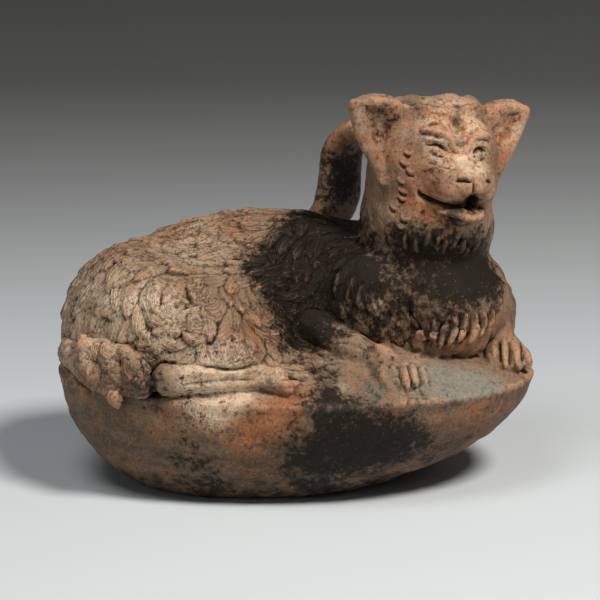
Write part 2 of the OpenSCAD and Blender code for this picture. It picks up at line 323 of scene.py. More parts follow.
def measure(path, path_up):
    """The points of clay near a path: which, how far along it (0 to 1) and how far across."""
    which = near(path)
    start, step = path[:-1], path[1:] - path[:-1]
    side = np.cross(path_up[:-1], step)
    side /= np.linalg.norm(side, axis=1)[:, None]
    off = co[which][:, None] - start
    t = np.clip((off * step).sum(2) / (step * step).sum(1), 0, 1)
    off = off - t[..., None] * step
    close = (off * off).sum(2).argmin(1)
    row = np.arange(len(which))
    along = (close + t[row, close]) / len(step)
    across = (off[row, close] * side[close]).sum(1)
    past = off[row, close] - across[:, None] * side[close]
    level = (past * path_up[close]).sum(1)
    past = np.sqrt(np.maximum(0, (past * past).sum(1) - level * level))
    seen = (np.abs(level) < 3 * mm) & ((up[which] * path_up[close]).sum(1) > 0.2)
    return which, along, across, past, seen


def lay_lock(path, path_up, width, height):
    which, along, across, past, seen = measure(path, path_up)
    girth = width * (0.55 + 0.45 * np.sin(np.pi / 2 * np.minimum(along / 0.5, 1)))
    girth *= np.sqrt(1 - np.clip((along - 0.6) / 0.42, 0, 0.999) ** 2)
    x = np.hypot(across, past) / girth
    bulge = np.sqrt(np.maximum(0, 1 - x * x))
    strands = 0.14 * np.cos(2 * np.pi * (across / (1.3 * mm) + dice.random()))
    tall = height * (0.3 + 0.7 * along) * (bulge + strands * (bulge > 0.2))
    above = seen & (x < 1) & (tall > lift[which])
    lift[which[above]] = tall[above]
    comb[which[above]] = across[above] + dice.random() * 5 * mm


def trace(place, heading, length, bend, steps=6):
    """A path over the clay from a place, curling by the bend in all."""
    p, n, *_ = surface.find_nearest(Vector(place))
    d = Vector(heading)
    path, path_up = [], []
    for _ in range(steps + 1):
        d = (d - n * d.dot(n)).normalized()
        path.append(p)
        path_up.append(n)
        p, n, *_ = surface.find_nearest(p + d * length / steps)
        d = Matrix.Rotation(bend / steps, 3, n) @ d
    return np.array(path), np.array(path_up)


# where the comb went which way: a place on the coat (mm) and the heading there
combed = np.array([
    [(-15, 12, 84), (-1, -0.15, -0.1)], [(-45, 8, 78), (-1, -0.1, -0.5)],
    [(-66, 2, 66), (-0.6, -0.1, -1)], [(-74, 0, 50), (-0.1, 0, -1)],
    [(-30, -12, 78), (-1, -0.3, -0.15)], [(-52, -18, 68), (-1, -0.3, -0.6)],
    [(-66, -16, 52), (-0.3, 0, -1)], [(-40, -33, 64), (-0.7, -0.2, -0.6)],
    [(-48, -34, 52), (-0.1, -0.2, -1)], [(-22, -32, 66), (0.3, -0.2, -0.9)],
    [(-12, -27, 62), (0.5, -0.1, -1)], [(-14, -35, 50), (0.1, 0, -1)],
    [(2, 0, 74), (-0.8, -0.4, -0.5)], [(8, -6, 60), (-0.3, -0.3, -1)],
    [(22, -16, 62), (0, -0.3, -1)], [(32, -14, 54), (0.35, -0.2, -1)],
    [(24, 0, 80), (-0.1, -0.2, -1)], [(46, -14, 70), (0, 0, -1)],
    [(64, 0, 66), (0.2, 0, -1)], [(66, 16, 58), (0.2, 0.1, -1)],
    [(46, 28, 70), (-0.2, 0.2, -1)], [(20, 30, 76), (-0.9, 0.3, -0.5)],
    [(0, 36, 68), (-0.8, 0.3, -0.9)], [(-30, 36, 64), (-0.8, 0.2, -0.9)],
    [(-60, 20, 62), (-0.7, 0.1, -1)], [(30, 36, 54), (-0.3, 0.1, -1)]], float)


def heading_at(place):
    off = combed[:, 0] * mm - place
    weight = np.exp(-(off * off).sum(1) / (14 * mm) ** 2) + 1e-9
    return (weight[:, None] * combed[:, 1]).sum(0) / weight.sum()


x, y, z = (co / mm).T
neck = soft(z, 66, 76) * soft(x, 18, 28)
stern = soft(-x, 42, 56)
furry = soft_share[:, [owners.index(n) for n in ("cover_near", "cover_far", "neck", "tail")]].sum(1)
on_tail = soft_share[:, owners.index("tail")]
hairy = soft(furry, 0.45, 0.85) * np.maximum(soft(z + 8 * stern, 43, 47), on_tail)
breast = soft(x, 36, 43) * soft(z, 55, 60) * soft(-y, -22, 0)
coat = soft(z + 6 * stern, 44, 50) * (1 - neck) * (1 - breast)
coat = np.maximum(coat, on_tail) * hairy
neck = neck * hairy
front = soft(x, 4, 20) * (1 - neck)
for spacing, weight, length, width, height, curl in [
        (4.4, coat * (1 - front), 12, 2.8, 1.9, 0.35), (4.4, coat * front, 11, 2.2, 1.4, 0.3),
        (4.0, neck * soft(-z, -88, -80) * soft(-x, -40, -30), 7.0, 0.9, 0.3, 0.3)]:
    order = dice.permutation(np.flatnonzero(weight > 0.25))
    _, pick = np.unique(cells(co[order], spacing * mm), return_index=True)
    for seed in order[pick]:
        strong = weight[seed] * dice.uniform(0.75, 1.15)
        px, py, pz = co[seed] / mm
        haunch = math.exp(-((px + 28) ** 2 + (py + 30) ** 2 + (pz - 56) ** 2) / 20 ** 2)
        swirl = math.sin(px / 4.6 + 1.0) * math.cos(pz / 4.2) + 0.4 * math.sin(py / 5.0)
        tuft = on_tail[seed]
        bend = dice.normal(0, curl)
        bend += (0.9 + 3.0 * haunch + 1.0 * tuft) * max(-1.0, min(1.0, 1.6 * swirl))
        heading = heading_at(co[seed]) + dice.normal(0, 0.12 + 0.25 * haunch, 3)
        reach = length * mm * dice.uniform(0.7, 1.2) * (1 - 0.2 * tuft)
        path, path_up = trace(co[seed], heading, reach, bend, 8)
        broad_by = width * mm * dice.uniform(0.8, 1.2)
        lay_lock(path, path_up, broad_by, height * mm * strong * (1 - 0.35 * tuft))
lift *= hairy
combed_here = soft(lift, 0.1 * mm, 0.4 * mm)
lift = relax(lift, ring, 1, 0.25)

# Arris of the tub
# The hull of the tub and the deck were moulded apart and luted together. The joint was pared
# to a sharp edge that runs all the way round.


def rounded(points, steps=4):
    """A smooth curve through the points."""
    p = np.array([points[0], *points, points[-1]], float)
    made = []
    for i in range(len(points) - 1):
        a, b, c, d = p[i:i + 4]
        for t in np.arange(steps) / steps:
            made.append((2 * b + (c - a) * t + (2 * a - 5 * b + 4 * c - d) * t ** 2
                         + (3 * b - a - 3 * c + d) * t ** 3) / 2)
    return [*made, p[-1]]


at = points_of(nodes["base_tub"].data)
widest = np.abs(at).max(0)
at = at[np.abs(at[:, 2] - at[np.abs(at[:, 1]).argmax(), 2]) < 0.1 * mm]
at = at[((at[:, :2] / widest[:2]) ** 2).sum(1) > 0.9]
at = np.unique(at[np.argsort(np.arctan2(at[:, 1], at[:, 0]))].round(6), axis=0)
at = at[np.argsort(np.arctan2(at[:, 1], at[:, 0]))]
arris = np.array(rounded([*at, *at[:2]], 8))
arris_up = arris * (1, 1, 0) / np.linalg.norm(arris[:, :2], axis=1)[:, None] + (0, 0, 0.55)
arris_up /= np.linalg.norm(arris_up, axis=1)[:, None]
which, along, across, past, seen = measure(arris, arris_up)
edge_high, edge_wide = 0.8 * mm, 2.6 * mm
edge_lift = np.zeros(len(co))
edge_lift[which] = edge_high * np.maximum(0, 1 - np.hypot(across, past) / edge_wide) * seen
edge_lift *= 1 - combed_here

# Face
# The face was pressed in the mould and gone over with a tool: slanting brows and lids, a
# ledge under the eyes, nostrils, the long mouth with its lower lip, and a beard.
fore = Vector(mounts["pouring_spout"]["axis"])
spout = Vector(mounts["pouring_spout"]["pos_m"])
middles = [points_of(nodes[n].data).mean(0) for n in ("ear_right", "ear_left")]
right = Vector(middles[0] - middles[1])
right = (right - fore * right.dot(fore)).normalized()
rise = fore.cross(right) if fore.cross(right).z > 0 else right.cross(fore)
raised, cut = np.zeros(len(co)), np.zeros(len(co))


def on_front(r, u):
    """The clay met by looking back at the head from ahead; r and u are mm from the spout's axis."""
    ahead_of_face = 60 * mm
    start = spout + fore * ahead_of_face + right * r * mm + rise * u * mm
    p, n, *_ = surface.ray_cast(start, -fore)
    return p, n


def tool_mark(path, width, height, blunt=0.5):
    """A ridge (height above 0) or a groove along the path."""
    met = [m for m in path if m[0] is not None]
    if len(met) < 2:
        return
    path, path_up = (np.array([m[k] for m in met]) for k in (0, 1))
    which, along, across, past, seen = measure(path, path_up)
    girth = width * mm * np.maximum(0.15, (1 - (2 * along - 1) ** 2)) ** blunt
    x = np.hypot(across, past) / girth
    tall = height * mm * np.maximum(0, 1 - x * x) ** 1.5 * seen
    kept = raised if height > 0 else cut
    kept[which] = (np.maximum if height > 0 else np.minimum)(kept[which], tall)


# broad forms first: forehead over each eye with a furrow between, cheeks, lobes of the nose
for points, radius, height in [
        ([(6.6, 22.8)], 4.4, 1.3), ([(-4.2, 22.8)], 4.2, 1.3),
        ([(0.9, 25), (1.1, 23), (1.2, 21), (1.4, 19), (1.5, 17)], 2.0, -1.05),
        ([(4.8, 17.6)], 2.0, 0.6), ([(-2, 17.2)], 2.0, 0.6),
        ([(8.6, 15.4)], 3.0, -0.9), ([(-6.4, 15.2)], 2.8, -0.9),
        ([(13.6, 9)], 4.0, 0.5), ([(15.5, 13.5)], 3.5, -0.8),
        ([(4.4, 9.6)], 2.4, 0.7), ([(-3.6, 9.4)], 2.3, 0.7),
        ([(8, 3.8)], 3.4, 0.7), ([(-6, 4.2)], 2.6, 0.5),
        ([(2, -9)], 4.5, 0.6), ([(10, -8)], 4.0, 0.5)]:
    points = rounded(points, 8) if len(points) > 1 else points
    met = [on_front(*p)[0] for p in points]
    off = np.min([((co - np.array(p)) ** 2).sum(1) for p in met if p is not None], axis=0)
    raised += height * mm * np.exp(-off / (radius * mm) ** 2)
broad = raised.copy()
raised[:] = 0
for points, width, height in [
        # brows, lids, eyeballs
        ([(3.2, 14.6), (5.8, 17.8), (9.4, 19.8), (12.6, 19.4)], 2.0, 1.35),
        ([(-0.4, 14.4), (-3, 17.8), (-6.5, 19.8), (-9.4, 19)], 2.0, 1.35),
        ([(5, 14.6), (8.2, 17.1), (12, 17.1)], 0.9, 0.8),
        ([(-1.6, 14.4), (-4.6, 16.8), (-8.6, 16.2)], 0.9, 0.8),
        ([(4.6, 16.1), (7.4, 18.2), (10.5, 18.8), (13.4, 18.2)], 0.5, -0.5),
        ([(-1.4, 15.8), (-4, 18), (-6.8, 18.4), (-9.8, 17.2)], 0.5, -0.5),
        ([(6.4, 14.6), (9.2, 15.9), (12.2, 15.2)], 0.6, -0.8),
        ([(-3, 14.4), (-5.4, 15.7), (-8.6, 14.6)], 0.6, -0.8),
        ([(8.8, 14.3), (10.2, 14.5)], 1.2, 1.1), ([(-5, 14.1), (-6.4, 14.1)], 1.2, 1.1),
        ([(6.6, 12.7), (9, 12.7), (11.8, 13.6)], 0.5, -0.45),
        ([(-3.4, 12.6), (-6, 12.4), (-8.4, 12.8)], 0.5, -0.45),
        # the ledge over the muzzle
        ([(12.8, 12.0), (9, 11.4), (4, 11.2), (0, 10.8), (-4, 10.2), (-8, 9.6)], 1.3, 0.55),
        ([(11.4, 10.2), (8, 9.8), (5, 9.6)], 0.9, -0.4),
        # nostrils, and the cleft from the nose to the mouth
        ([(3.0, 7.3), (4.8, 7.4), (6.4, 6.7)], 1.0, -1.7),
        ([(-3.0, 7.5), (-4.6, 7.5), (-6.2, 7)], 1.0, -1.7),
        ([(2.4, 8.0), (1.9, 5.4), (1.5, 2.6)], 0.7, -1.2),
        ([(0.9, 8.4), (0, 6.4), (-0.6, 3)], 1.0, 0.5),
        # mouth and lower lip
        ([(2.2, -1), (6, -1.6), (9.4, -1.5), (12.2, -0.3), (13, 0.8)], 1.3, -1.9),
        ([(-2.2, 0), (-4.4, 0.6), (-7, 1.8)], 1.0, -1.4),
        ([(10.6, 1.2), (6, 0.9), (3, 1.6)], 1.3, 0.45),
        ([(8, -3.9), (3.6, -3.8), (0.4, -4.4), (-3, -3.8), (-5.6, -2.2)], 1.6, 1.2),
        ([(9.4, -3.6), (8.2, -5.4)], 0.4, -0.6)]:
    tool_mark([on_front(*p) for p in rounded(points)], width, height)

# the hole flares at the lips
flare_wide, flare_tall, flare_deep = 3.4, 2.7, 2.5 * mm
off = co - np.array(spout)
ahead = off @ np.array(fore)
flare = np.hypot(off @ np.array(right) / flare_wide, off @ np.array(rise) / flare_tall) / mm
cut -= flare_deep * np.clip(1.5 - flare, 0, 1) * (ahead > 0)

# comma strokes round the ruff, and pits along its lower edge
for k in range(9):
    p, n = on_front(17.0 + 0.8 * math.sin(k * 2.4), 11.5 - k * 2.9 + 0.4 * math.sin(k * 4.1))
    if p is not None:
        path, path_up = trace(p, -right * 0.7 - rise * 0.6, 2.9 * mm, 1.6)
        tool_mark(list(zip(path, path_up)), 0.6, -0.8)
        path, path_up = trace(p + rise * 1.2 * mm, -right * 0.7 - rise * 0.5, 3.4 * mm, 1.6)
        tool_mark(list(zip(path, path_up)), 0.9, 0.55)
for k in range(9):
    p, n = on_front(14 - k * 2.9, -13.2 - 1.6 * math.sin(k * 2.1) - 0.10 * (k - 4) ** 2)
    if p is not None:
        path, path_up = trace(p, -rise + right * 0.5 * math.sin(k * 5.0), 2.8 * mm, 0.9 * math.sin(k * 3.3))
        tool_mark(list(zip(path, path_up)), 0.9, -1.2)
        path, path_up = trace(p + right * 1.6 * mm + rise * mm, -rise, 4.6 * mm, 0.5 * math.sin(k * 2.3))
        tool_mark(list(zip(path, path_up)), 1.3, 0.8)

# Paws and pendent locks
# The paws, the folded hind leg and the locks at the foot of the chest were laid on as rolls of
# clay, then cut into toes and strands with a tool.


def from_front(x, v):
    """The clay met by looking from the camera; x and v are mm across and up in that view."""
    origin = (Vector((1, 0, 0)) * x + Vector((0, math.sin(camera_rise), math.cos(camera_rise))) * v) * mm
    p, n, *_ = surface.ray_cast(origin + back * 0.5, -back)
    return p, n


for points, width, height in [
        # right forepaw
        ([(25, 41.5), (30, 38.5), (35, 36)], 4.2, 1.3),
        ([(30, 35.4), (36, 36.4), (40, 35)], 2.4, 1.2),
        ([(29.4, 35.2), (31.2, 30.4)], 2.0, 1.3), ([(32.4, 36), (34, 29.4)], 2.1, 1.6),
        ([(35.6, 36), (36.9, 29.4)], 2.1, 1.6), ([(38.6, 35.4), (39.9, 30.6)], 1.9, 1.3),
        ([(31.2, 33.6), (32.6, 30)], 0.45, -1.0), ([(34.4, 33.8), (35.6, 29.4)], 0.45, -1.1),
        ([(37.5, 33.8), (38.5, 30)], 0.45, -1.0),
        ([(33.9, 29.6), (34.2, 28.0)], 0.7, 0.9), ([(36.9, 29.6), (37.2, 28.0)], 0.7, 0.9),
        ([(39.9, 30.6), (40.4, 29.2)], 0.7, 0.8),
        # left forepaw
        ([(64, 43), (64, 37)], 0.6, -1.6), ([(67.2, 43), (67.4, 35.4)], 0.6, -1.7),
        ([(70.8, 43), (71.4, 36)], 0.6, -1.5),
        ([(62.2, 43), (62.6, 38.6)], 1.4, 0.8), ([(65.6, 44), (65.6, 35.4)], 1.5, 0.9),
        ([(69, 44), (69.4, 35.8)], 1.5, 0.9),
        ([(72.6, 43), (73, 36.6)], 1.4, 0.8),
        # right hind paw
        ([(-9, 34), (-4, 34.5), (3, 33.5)], 3.4, 1.1),
        ([(-4.6, 35.8), (2, 35)], 1.5, 1.1), ([(-4.6, 33.2), (3.4, 32.4)], 1.6, 1.2),
        ([(-5.4, 30.8), (2, 30.2)], 1.5, 1.0),
        ([(-4, 34.5), (2.6, 33.8)], 0.5, -1.2), ([(-4.6, 32), (2.6, 31.3)], 0.5, -1.2),
        # pendent locks along the foot of the chest, and strokes beside them
        ([(39.4, 47.2), (41, 45.3), (39.4, 44)], 1.0, 1.0),
        ([(42.9, 50), (43.2, 46.3), (42.2, 43.7)], 1.3, 1.4),
        ([(46.7, 49.4), (45.9, 45.3), (44.6, 41.8)], 1.4, 1.6),
        ([(49.4, 50.7), (48.9, 46.3), (47.2, 42.4)], 1.4, 1.6),
        ([(52.7, 52), (52.2, 47.5), (50.4, 43.6)], 1.4, 1.6),
        ([(55.8, 52), (55.7, 46.9), (53.9, 43.1)], 1.4, 1.6),
        ([(58.4, 52.3), (58.7, 48.2), (57.2, 45)], 1.3, 1.4),
        ([(61, 53.6), (61.4, 50.7), (60.3, 48.2)], 1.2, 1.2),
        ([(45, 49), (44.4, 45.4), (43.6, 43)], 0.5, -0.9),
        ([(48, 50), (47.4, 46), (46, 42.4)], 0.5, -1.0),
        ([(51, 51.4), (50.6, 47), (48.9, 43)], 0.5, -1.0),
        ([(54.3, 52), (54, 47.4), (52.2, 43.4)], 0.5, -1.0),
        ([(57.1, 52), (57.2, 47.6), (55.5, 44.2)], 0.5, -0.9),
        ([(59.7, 52.4), (60.1, 49.4), (58.9, 46.4)], 0.5, -0.9),
        ([(13.6, 64.6), (12, 58.6)], 1.1, 0.9), ([(17.4, 63), (15.6, 56.7)], 1.1, 0.9),
        ([(20, 60.5), (19, 55.1)], 1.1, 0.9), ([(23.2, 58.6), (24.4, 53.2)], 1.1, 0.9),
        ([(25.4, 56.7), (27.6, 52.3)], 1.1, 0.9), ([(29.8, 50.7), (33.3, 47.2)], 1.0, 0.8),
        ([(28, 55), (31, 50.8)], 1.0, 0.8), ([(33, 54), (35.6, 50)], 1.0, 0.7),
        ([(36, 51), (38, 47.6)], 1.0, 0.7),
        # folds along the hind leg, strokes on the foreleg
        ([(-34, 30.5), (-24, 31.5), (-14, 32)], 1.0, -0.5),
        ([(-34, 33), (-22, 33.8), (-12, 34.6)], 1.2, 0.5),
        ([(14, 46), (18, 45.2)], 0.6, -0.5), ([(12, 43), (16, 42.7)], 0.6, -0.5),
        ([(17, 42.6), (21, 41)], 0.6, -0.4),
        ([(20, 44.6), (24, 43)], 0.6, -0.4)]:
    tool_mark([from_front(*p) for p in rounded(points)], width, height)

# Skin of the clay
# The worked surface: the head swells under the rim, every mark is softened by wet fingers, and
# the skin is nowhere quite even.
off = co - np.array(mounts["filling_mouth"]["pos_m"])
above = off @ np.array(mounts["filling_mouth"]["axis"])
raised += 1.0 * mm * np.exp(-((above + lip_half + mm) / (4 * mm)) ** 2) * soft(up[:, 2], 0.9, 0.5)
raised = relax(raised, ring, 1, 0.3) + broad
cut = relax(cut, ring, 1, 0.3)
uneven_by = 0.16 * mm
uneven = sum(relax(dice.normal(0, 1, len(co)), ring, rounds) * amount
             for rounds, amount in ((6, 0.25), (60, 2.6)))
raised += uneven_by * np.clip(uneven / uneven.std(), -3, 3)
co = co + up * (lift - 0.45 * mm * (coat + 0.3 * neck) + raised + cut + edge_lift)[:, None]
lip_up = mm * np.exp(-((above + lip_half + mm) / (2 * mm)) ** 2)
co += np.array(mounts["filling_mouth"]["axis"]) * lip_up[:, None]
co[:, 2] = np.maximum(co[:, 2], 0)
put_points(clay, co)

# Fired clay
# One firing coloured the whole vessel: orange where air reached it, grey to black where smoke
# did, buff where the surface is worn, with pale dust on the deck. Painted shade darkens the
# flank valley and shoulder along with the soot, and the hollows and recesses; painted
# highlight brightens the buff on the forehead, left ear and hind leg.


def stained(*spots):
    """How strongly the spots (place and radius in mm, amount) colour the clay, as a function of place."""
    def amount_at(places):
        total = np.zeros(len(places))
        for px, py, pz, radius, amount in spots:
            off = places / mm - (px, py, pz)
            total += amount * np.exp(-(off * off).sum(1) / radius ** 2)
        return np.clip(total, 0, 1.5)
    return amount_at


# soot from the firing, with painted shade in it: the strong spots on the second line lie in the flank
# valley and on the shoulder, where the clay is in shade
soot_and_shade_at = stained(
    (41, -18, 103, 6, 0.35), (48.6, -21.6, 92.5, 4, 0.5), (24, -4, 116, 8, 0.1), (-8, -8, 70, 9, 0.4),
    (-4, -12, 64, 12, 1.4), (1, -12, 50, 11, 1.3), (4, -2, 75, 12, 1.3), (15, -10, 70, 12, 1.1),
    (10, 8, 80, 12, 1.1), (15, 31, 94, 10, 0.8), (25, -4, 116, 6, 0.4), (42, -17, 80, 8, 0.5),
    (33, -16, 85, 7, 0.4), (50, -12, 74, 13, 0.7), (58, -8, 71, 11, 0.7), (36, -14, 76, 9, 0.5),
    (45, -18, 63, 9, 0.45), (58, -13, 65, 9, 0.5), (48, -19, 53, 7, 0.4), (30, -14, 60, 12, 0.7),
    (20, -40, 24, 15, 1.0), (4, -40, 17, 13, 0.8), (33, -36, 20, 10, 0.6),
    (10, -41, 38, 8, 0.5), (-46, -39, 44, 10, 0.6), (18, 20, 84, 12, 0.6), (-20, 42, 26, 30, 0.5),
    (50, 28, 70, 16, 0.5), (20, 40, 50, 14, 0.5), (-30, -36, 12, 14, 0.4), (50, -26, 16, 12, 0.5),
    (8, -31, 43, 6, 0.5), (47, -21, 88, 4, 0.35), (58, -16, 92, 5, 0.3))
warm_at = stained(
    (-15, -42, 26, 9, 0.9), (-5, -42, 33, 8, 0.6), (-40, -40, 30, 8, 0.4), (0, -40, 39, 7, 0.6),
    (56, -27, 28, 13, 0.6), (26, -34, 8, 12, 0.4), (-61, -28, 50, 6, 0.5), (68, -6, 44, 8, 0.4),
    (50, -22, 48, 8, 0.6), (60, -16, 52, 9, 0.6), (32, -20, 48, 8, 0.5), (66, 15, 111, 12, 0.5),
    (48, -8, 115, 12, 0.6), (38, -15, 95, 12, 0.6), (48, -18, 92, 12, 0.5), (24, -4, 112, 12, 0.55),
    (-43, 7, 76, 8, 0.5), (-20, 5, 81, 8, 0.5), (14, 27, 106, 13, 0.7), (-13, -32, 56, 9, 0.6),
    (-50, 40, 30, 16, 0.6), (10, 43, 34, 14, 0.5), (-30, 30, 70, 16, 0.4), (40, 20, 108, 16, 0.5),
    (60, 5, 96, 14, 0.5), (64, -4, 60, 10, 0.4))
# buff worn clay, with painted highlight on the forehead, the left ear and the hind leg, where the clay is
# lit brightest
pale_and_highlight_at = stained(
    (43, -12, 117, 8, 0.8), (50, -6, 117, 7, 0.7), (66, 15, 111, 8, 0.7), (13, -38, 40, 7, 0.7),
    (-69, -10, 57, 9, 0.6),
    (-46, -32, 58, 14, 0.7), (-66, -12, 54, 15, 1.0), (-40, -34, 62, 8, 0.3), (-23, -41, 43, 11, 1.3),
    (-4, -37, 44, 6, 0.7), (36, -29, 43, 5, 0.5), (68, -8, 44, 6, 0.6), (52, -16, 105, 6, 0.8),
    (-25, -43, 36, 8, 0.5), (-30, 0, 80, 20, 0.4), (-50, 20, 60, 20, 0.5), (54, -12, 112, 9, 1.1),
    (68, 14, 112, 8, 0.5), (46, -16, 107, 5, 0.4),
    (-56, -26, 60, 14, 0.6), (-34, -38, 44, 6, 0.3))
dust_at = stained(
    (45, -27, 40, 10, 0.8), (60, -24, 38, 9, 0.7), (24, -38, 39, 7, 0.5), (52, -29, 37, 8, 0.6),
    (40, 30, 40, 12, 0.5), (69, 10, 38, 8, 0.5))
soot_and_shade, warm, pale_and_highlight = soot_and_shade_at(base), warm_at(base), pale_and_highlight_at(base)
# the tub darkens towards the bottom
soot_and_shade += 0.5 * soft(-base[:, 2], -13 * mm, -3 * mm)
dust = dust_at(base) * soft(base[:, 2], 33 * mm, 36 * mm)
height_of = lift + raised + cut * 1.2
# painted shade: clay sunk below its neighbours, between the locks and in the tool grooves, is painted near
# black
hollow = soft(-(height_of - relax(height_of, ring, 8)), 0.02 * mm, 0.40 * mm)
crest = soft(height_of - relax(height_of, ring, 8), 0.05 * mm, 0.40 * mm)
# painted shade: where the clay sinks below its smoothed form it is painted dark grey; where it stands out
# it takes the colour of wear
form = ((co - relax(co, ring, 45)) * relax(up, ring, 8)).sum(1)
recess_shade, worn = soft(-form, 0.08 * mm, 0.7 * mm), soft(form, 0.1 * mm, 0.8 * mm)


def clay_material(name):
    """The fired clay of one slot. The attributes of its pieces say how the fire marked it and where painted
    shade and painted highlight fall.
    """
    material, tree, shader = new_material(name)
    is_tub = name == "tub_clay"
    object_place = node(tree, "ShaderNodeTexCoord").outputs["Object"]

    def sample(attribute):
        made = tree.nodes.new("ShaderNodeAttribute")
        made.attribute_name = attribute
        return made.outputs["Fac"]

    def math_node(operation, a, b=0.0, c=0.0):
        made = node(tree, "ShaderNodeMath", i0=a, i1=b, i2=c)
        made.operation = operation
        return made.outputs[0]

    def noise(scale, detail=4.0, rough=0.6, at=object_place):
        made = node(tree, "ShaderNodeTexNoise", Vector=at, Scale=scale, Detail=detail, Roughness=rough)
        return made.outputs["Fac"]

    def step(value, low, high):
        made = node(tree, "ShaderNodeMapRange", Value=value, From_Min=low, From_Max=high)
        made.interpolation_type = "SMOOTHSTEP"
        return made.outputs["Result"]

    def part(value, share):
        return math_node("MULTIPLY", value, share)

    def mix(factor, under, over):
        made = tree.nodes.new("ShaderNodeMix")
        made.data_type = "RGBA"
        for k, value in ((0, factor), (6, under), (7, over)):
            if isinstance(value, bpy.types.NodeSocket):
                tree.links.new(value, made.inputs[k])
            else:
                made.inputs[k].default_value = (*value, 1.0) if isinstance(value, tuple) else value
        return made.outputs[2]

    wide = noise(45.0)
    mottle = noise(190.0, 6.0, 0.7)
    flecks = noise(520.0, 5.0, 0.75)
    grain = noise(1100.0, 5.0, 0.75)
    speck = node(tree, "ShaderNodeTexVoronoi", Vector=object_place, Scale=620.0).outputs["Distance"]
    drawn = node(tree, "ShaderNodeMapping", Vector=object_place, Scale=(60.0, 60.0, 340.0))
    streak = noise(1.0, 5.0, 0.65, drawn.outputs["Vector"])
    aside = node(tree, "ShaderNodeVectorMath", i0=object_place, i1=(3.0, 1.0, 2.0))
    rust = noise(130.0, 5.0, 0.7, aside.outputs[0])
    rust = math_node("ADD", rust, math_node("MULTIPLY_ADD", flecks, 0.5, -0.25))

    def breaking(attribute, amount=1.0):
        """The stain, painted shade or painted highlight with its edge broken up as the fire breaks a stain:
        coarse, middling and fine.
        """
        loose = math_node("MULTIPLY_ADD", mottle, 2.2 * amount, -1.1 * amount)
        loose = math_node("ADD", loose, math_node("MULTIPLY_ADD", wide, 1.2 * amount, -0.6 * amount))
        loose = math_node("ADD", loose, math_node("MULTIPLY_ADD", flecks, 2.6 * amount, -1.3 * amount))
        return math_node("ADD", sample(attribute), loose)

    # the tub's hull clay is made darker than the rest, partly its own tone and partly painted shade on the
    # hull, which faces down and away from the lamps
    brightness_and_shade = 0.72 if is_tub else 1.25
    dark_clay, light_clay = (tuple(brightness_and_shade * c for c in clay_colour)
                             for clay_colour in ((0.185, 0.115, 0.070), (0.290, 0.195, 0.125)))
    colour = mix(step(wide, 0.35, 0.65), dark_clay, light_clay)
    # from the clay outward: streaks, colours of the fire with painted highlight in the buff, wear and dust,
    # painted shade in the recesses, soot with painted shade in it, painted shade between the locks
    for share, tint in [
            (part(step(streak, 0.52, 0.36), 0.45 if is_tub else 0.15), (0.055, 0.042, 0.030)),
            # buff worn clay, and painted highlight
            (step(breaking("pale_and_highlight", 0.8), 0.1, 0.9), (0.74, 0.55, 0.37)),
            (part(step(rust, 0.50, 0.66), 0.6), (0.36, 0.150, 0.065)),
            (step(breaking("warm"), 0.2, 0.9), (0.38, 0.145, 0.060)),
            (part(step(breaking("worn", 0.7), 0.3, 0.9), 0.75), (0.55, 0.27, 0.135)),
            (part(step(breaking("dust", 0.7), 0.1, 0.8), 0.8), (0.25, 0.25, 0.205)),
            # painted shade in the recesses
            (part(step(breaking("recess_shade", 0.5), 0.1, 1.0), 0.75), (0.085, 0.078, 0.058)),
            (part(sample("crest"), 0.45), (0.60, 0.36, 0.21)),
            (part(step(flecks, 0.50, 0.36), 0.4), (0.060, 0.042, 0.028)),
            (part(step(grain, 0.54, 0.66), 0.35), (0.48, 0.32, 0.20)),
            # soot, with painted shade in the flank valley and on the shoulder
            (part(step(breaking("soot_and_shade"), 0.1, 0.9), 0.975), (0.011, 0.009, 0.006)),
            (part(sample("crest"), 0.16), (0.34, 0.16, 0.08)),
            (part(step(speck, 0.12, 0.06), 0.4), (0.50, 0.42, 0.32)),
            # painted shade between the locks and in the grooves
            (part(sample("hollow"), 0.9), (0.012, 0.010, 0.007)),
            (part(step(grain, 0.48, 0.34), 0.5), (0.018, 0.014, 0.010))]:
        colour = mix(share, colour, tint)
    tree.links.new(colour, shader.inputs["Base Color"])
    tree.links.new(math_node("MULTIPLY_ADD", grain, 0.35, 0.34), shader.inputs["Roughness"])
    sheen = math_node("MULTIPLY_ADD", sample("worn"), 0.35, 0.12)
    tree.links.new(sheen, shader.inputs["Specular IOR Level"])
    comb_pitch = 0.62
    strands = math_node("SINE", math_node("MULTIPLY", sample("comb"), 2 * math.pi / comb_pitch))
    strands = math_node("MULTIPLY", strands, sample("combed"))
    rough = math_node("MULTIPLY_ADD", grain, 0.6, math_node("MULTIPLY", flecks, 0.7))
    relief = math_node("MULTIPLY_ADD", strands, 0.09, rough)
    bump = node(tree, "ShaderNodeBump", Height=relief, Strength=0.9, Distance=0.9 * mm)
    tree.links.new(bump.outputs["Normal"], shader.inputs["Normal"])
    return material


# Pieces
# The potter's joints part the clay again into its pieces: the hollow ones keep their wall and
# the laid-on ones get an underside pressed a little into the body.
wall = 4.2 * mm
pressed_in = 2
flat_within = math.radians(7)
corners = np.empty(len(clay.loops), np.int64)
clay.loops.foreach_get("vertex_index", corners)
sizes = np.empty(len(clay.polygons), np.int64)
clay.polygons.foreach_get("loop_total", sizes)
assert (sizes == 4).all()
quads = corners.reshape(-1, 4)
votes = np.sort(mine[quads], axis=1)
face_owner = np.where(votes[:, 1] == votes[:, 2], votes[:, 1], votes[:, 0])

